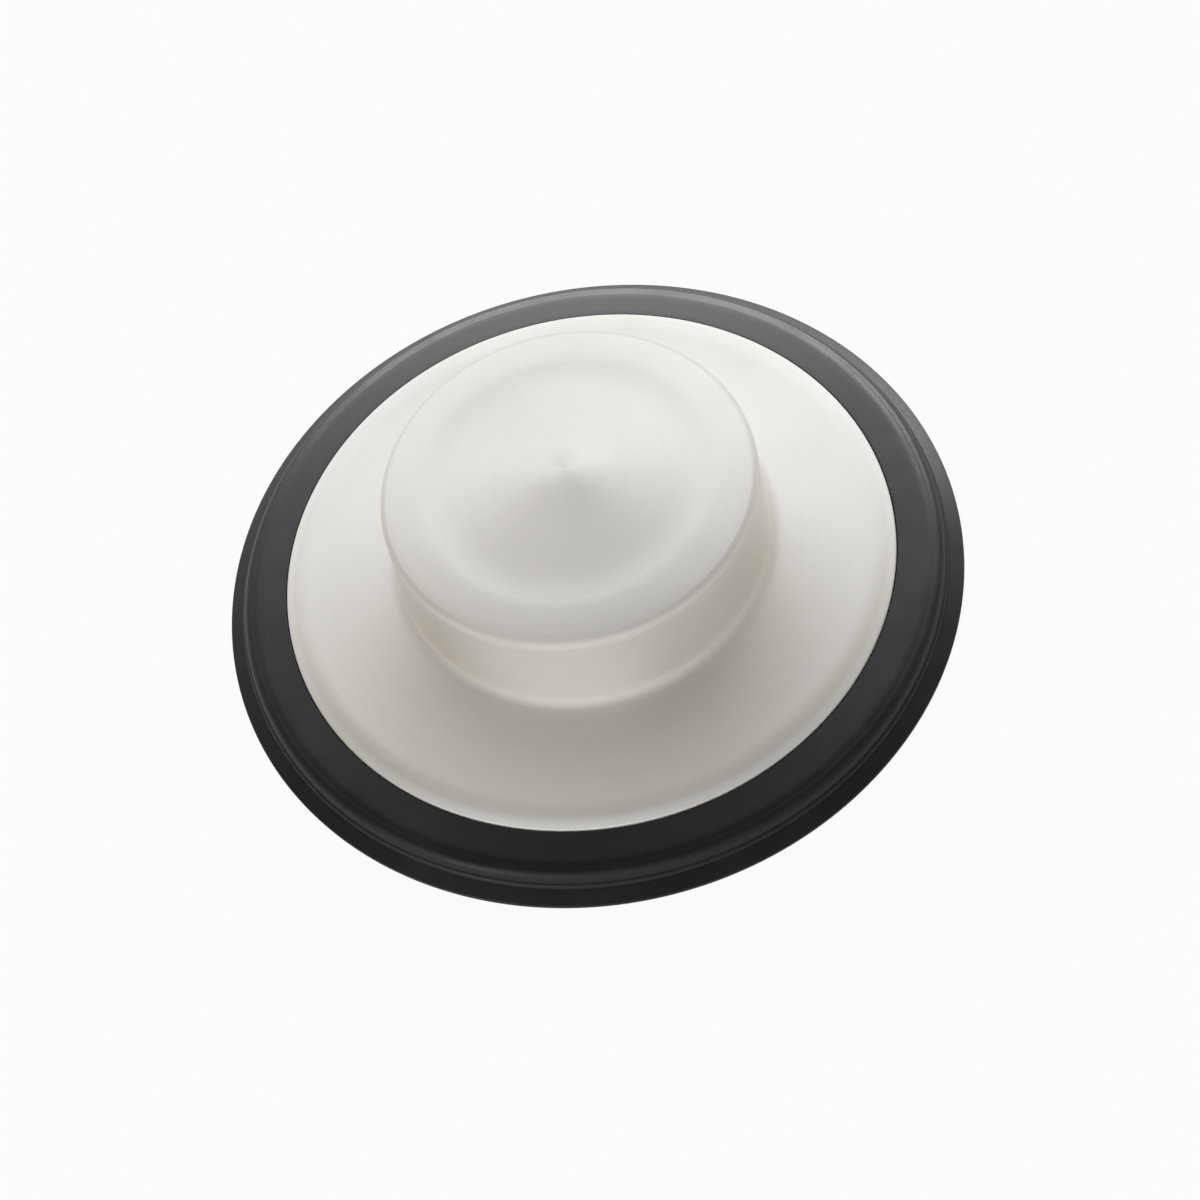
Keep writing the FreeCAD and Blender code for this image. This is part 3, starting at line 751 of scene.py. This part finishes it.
class STOPPER_OT_set_stage(bpy.types.Operator):
    """Set out the pale floor, the soft light and the camera"""

    bl_idname = "stopper.set_stage"
    bl_label = "Set stage"

    def execute(self, context):
        scene = context.scene
        stage = scene.stopper_stage
        scene.view_settings.view_transform = "Standard"
        self.floor(stage)
        self.sky(scene, stage)
        seal_only = bpy.data.collections.new("seal_only")
        seal_only.objects.link(bpy.data.objects["seal_ring"])
        for name, watts, way, fixture in (
            ("back_lamp", stage.back_power, stage.back_lamp_way, BACK_LAMP),
            ("front_lamp", stage.front_power, stage.front_lamp_way, FRONT_LAMP),
        ):
            lamp = self.lamp(name, watts, way, *fixture)
            lamp.light_linking.receiver_collection = seal_only
        self.camera(scene, stage)
        return {"FINISHED"}

    def floor(self, stage):
        """Wide flat floor, a hair under the skirt so that the two share no plane."""
        data = bpy.data.meshes.new("floor")
        signs = ((-1, -1), (1, -1), (1, 1), (-1, 1))
        corners = [(FLOOR_HALF * x, FLOOR_HALF * y, -FLOOR_GAP) for x, y in signs]
        data.from_pydata(corners, [], [(0, 1, 2, 3)])
        floor = bpy.data.objects.new("floor", data)
        bpy.context.scene.collection.objects.link(floor)
        data.materials.append(make_material("pale_floor", self.pale_floor, stage))

    def pale_floor(self, nodes, stage):
        """Matt pale floor that looks white to the camera and in the metal, and keeps a shadow."""
        matt = nodes.add("ShaderNodeBsdfDiffuse", None, {"Color": (*stage.floor, 1.0)})
        white = {"Color": (1.0, 1.0, 1.0, 1.0), "Strength": 1.0}
        glow = nodes.add("ShaderNodeEmission", None, white)
        seen = nodes.ray("Is Camera Ray") * CAMERA_WHITE
        shine = nodes.ray("Is Glossy Ray") * SHINE_WHITE
        amount = nodes.math("MAXIMUM", seen, shine)
        amount = nodes.math("MAXIMUM", amount, nodes.ray("Is Transmission Ray"))
        return nodes.add("ShaderNodeMixShader", None, {0: amount, 1: matt, 2: glow})

    def sky(self, scene, stage):
        """Soft light from a bright back and low patches at the front left and right, dim overhead
        and warmer outside the patches. The camera sees plain white."""
        world = bpy.data.worlds.new("studio")
        world.use_nodes = True
        scene.world = world
        nodes = NodeTree(world.node_tree)
        way = nodes.add("ShaderNodeTexCoord", None, None, "Generated")
        dimmed = nodes.ease(nodes.axis(way, 2), DIM_FROM, DIM_TO)
        back = self.glow(nodes, way, stage.back_way, *BACK_PATCH)
        left = self.glow(nodes, way, stage.left_way, *LEFT_PATCH)
        right = self.glow(nodes, way, stage.right_way, *RIGHT_PATCH)
        light = stage.horizon + dimmed * (stage.zenith - stage.horizon)
        light = light + back * stage.back_glow + left * stage.left_glow + right * stage.right_glow
        white = nodes.math("MAXIMUM", nodes.ray("Is Camera Ray"), nodes.ray("Is Transmission Ray"))
        strength = light + white * (1.0 - light)
        warmth = (1.0 - nodes.ease(back + left + right, 0.0, PATCH_COLOUR)) * (1.0 - white)
        color = nodes.blend(warmth, stage.sky, stage.warm_sky)
        surface = nodes.add("ShaderNodeBackground", None, {"Color": color, "Strength": strength})
        nodes.add("ShaderNodeOutputWorld", None, {"Surface": surface})

    def glow(self, nodes, way, around, elevation, begin, full):
        """A soft bright patch of the surroundings, by the cosine of the angle to its middle."""
        inputs = {0: way, 1: aim(around, elevation)}
        facing = nodes.add("ShaderNodeVectorMath", {"operation": "DOT_PRODUCT"}, inputs, "Value")
        return nodes.ease(facing, begin, full)

    def lamp(self, name, watts, around, elevation, size):
        """A soft rectangular lamp that looks at the part from one direction."""
        data = bpy.data.lights.new(name, "AREA")
        data.shape = "RECTANGLE"
        data.size, data.size_y = size
        data.energy = watts
        lamp = bpy.data.objects.new(name, data)
        way = aim(around, elevation)
        lamp.location = way * LAMP_DISTANCE
        lamp.rotation_euler = way.to_track_quat("Z", "Y").to_euler()
        bpy.context.scene.collection.objects.link(lamp)
        return lamp

    def camera(self, scene, stage):
        """Camera at the picture's angle, turned slightly so that the lip lies where it should."""
        lean = stage.camera_elevation
        back = Vector((0.0, -math.cos(lean), math.sin(lean)))
        right, up = Vector((1.0, 0.0, 0.0)), Vector((0.0, math.sin(lean), math.cos(lean)))
        lip = Vector((0.0, 0.0, scene.stopper_seal.lip_bottom + AIM_LIFT))
        place = lip + back * stage.camera_distance
        back = (back - right * stage.frame_right + up * stage.frame_down).normalized()
        right = (right - back * right.dot(back)).normalized()
        up = back.cross(right)
        roll = stage.camera_roll
        across = right * math.cos(roll) + up * math.sin(roll)
        upward = up * math.cos(roll) - right * math.sin(roll)
        data = bpy.data.cameras.new("camera")
        data.lens = stage.camera_lens
        data.sensor_width = SENSOR
        data.clip_start = NEAR_CLIP
        camera = bpy.data.objects.new("camera", data)
        turn = Matrix((across, upward, back)).transposed()
        camera.matrix_world = Matrix.Translation(place) @ turn.to_4x4()
        scene.collection.objects.link(camera)
        scene.camera = camera


class STOPPER_PT_panel(bpy.types.Panel):
    """Sizes, finishes and steps of the drain stopper"""

    bl_idname = "STOPPER_PT_panel"
    bl_label = "Drain stopper"
    bl_space_type = "VIEW_3D"
    bl_region_type = "UI"
    bl_category = "Stopper"

    def draw(self, context):
        layout = self.layout
        for step in STEPS:
            layout.operator(f"stopper.{step}")
        for group in GROUPS:
            settings = getattr(context.scene, group)
            box = layout.box()
            for name in settings.__annotations__:
                box.prop(settings, name)


STEPS = ("make_cap", "make_seal", "dress_core", "dress_underside", "set_stage")
GROUPS = {
    "stopper_cap": CapSettings,
    "stopper_seal": SealSettings,
    "stopper_core": CoreSettings,
    "stopper_stage": StageSettings,
}
OPERATORS = (
    STOPPER_OT_make_cap,
    STOPPER_OT_make_seal,
    STOPPER_OT_dress_core,
    STOPPER_OT_dress_underside,
    STOPPER_OT_set_stage,
)


def register():
    for name, group in GROUPS.items():
        bpy.utils.register_class(group)
        setattr(bpy.types.Scene, name, PointerProperty(type=group))
    for operator in OPERATORS:
        bpy.utils.register_class(operator)
    bpy.utils.register_class(STOPPER_PT_panel)


def unregister():
    bpy.utils.unregister_class(STOPPER_PT_panel)
    for operator in reversed(OPERATORS):
        bpy.utils.unregister_class(operator)
    for name, group in reversed(list(GROUPS.items())):
        delattr(bpy.types.Scene, name)
        bpy.utils.unregister_class(group)


def main():
    register()
    for step in STEPS:
        getattr(bpy.ops.stopper, step)()


if __name__ == "__main__":
    main()
